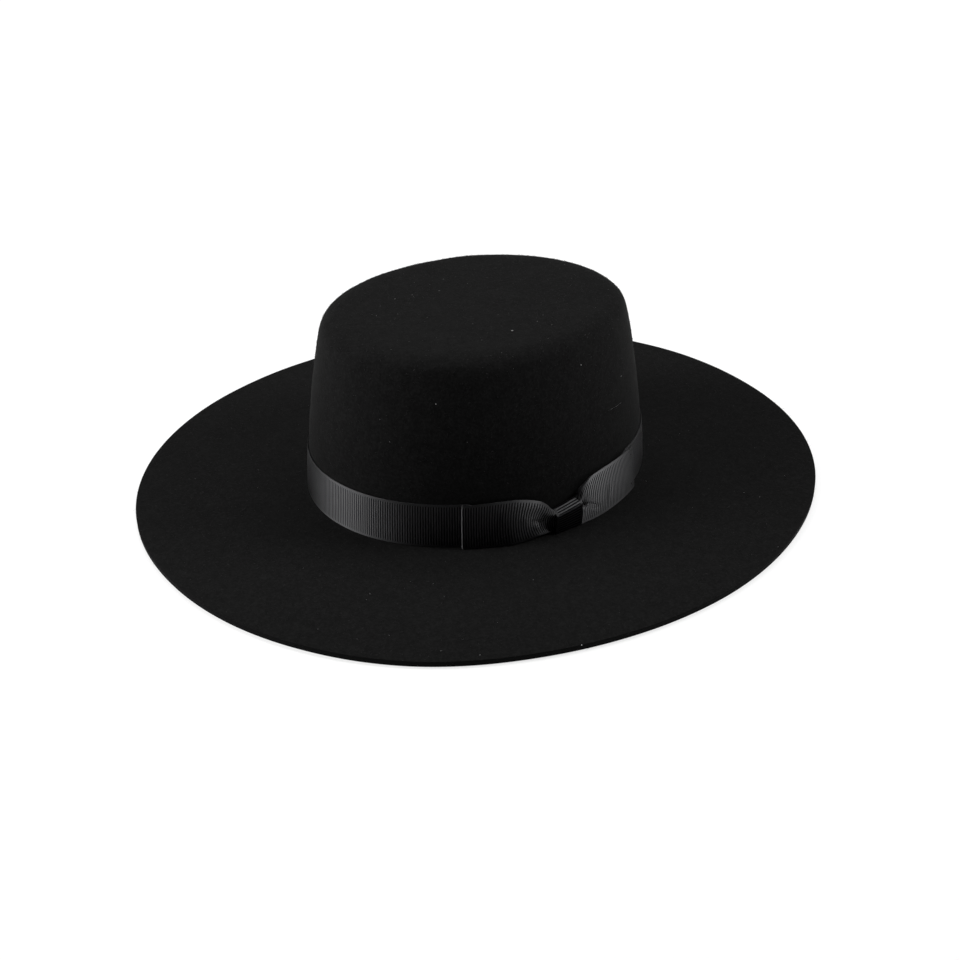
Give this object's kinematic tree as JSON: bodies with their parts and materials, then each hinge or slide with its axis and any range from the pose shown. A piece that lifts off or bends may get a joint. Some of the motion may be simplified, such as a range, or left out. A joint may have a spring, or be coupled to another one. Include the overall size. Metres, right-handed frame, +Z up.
{
  "type": "bolero hat",
  "caption": "Black felt hat with a low oval flat-topped crown, a wide flat brim and a ribbed ribbon band with a flat side bow.",
  "frame": {"origin": "middle of the brim's outline, on the surface that the brim lies on", "axes": "+Z up, -Y to the wearer's front, +X to the wearer's left, where the bow is"},
  "size_m": [0.3704, 0.404, 0.1035],
  "materials": {
    "felt": "black pressed felt, matt, with a very short nap",
    "ribbon": "black ribbed ribbon with a soft silky sheen"
  },
  "bodies": {
    "root": {"felt_body": "felt", "ribbon_band": "ribbon", "bow": "ribbon", "bow_knot": "ribbon"}
  },
  "joints": []
}
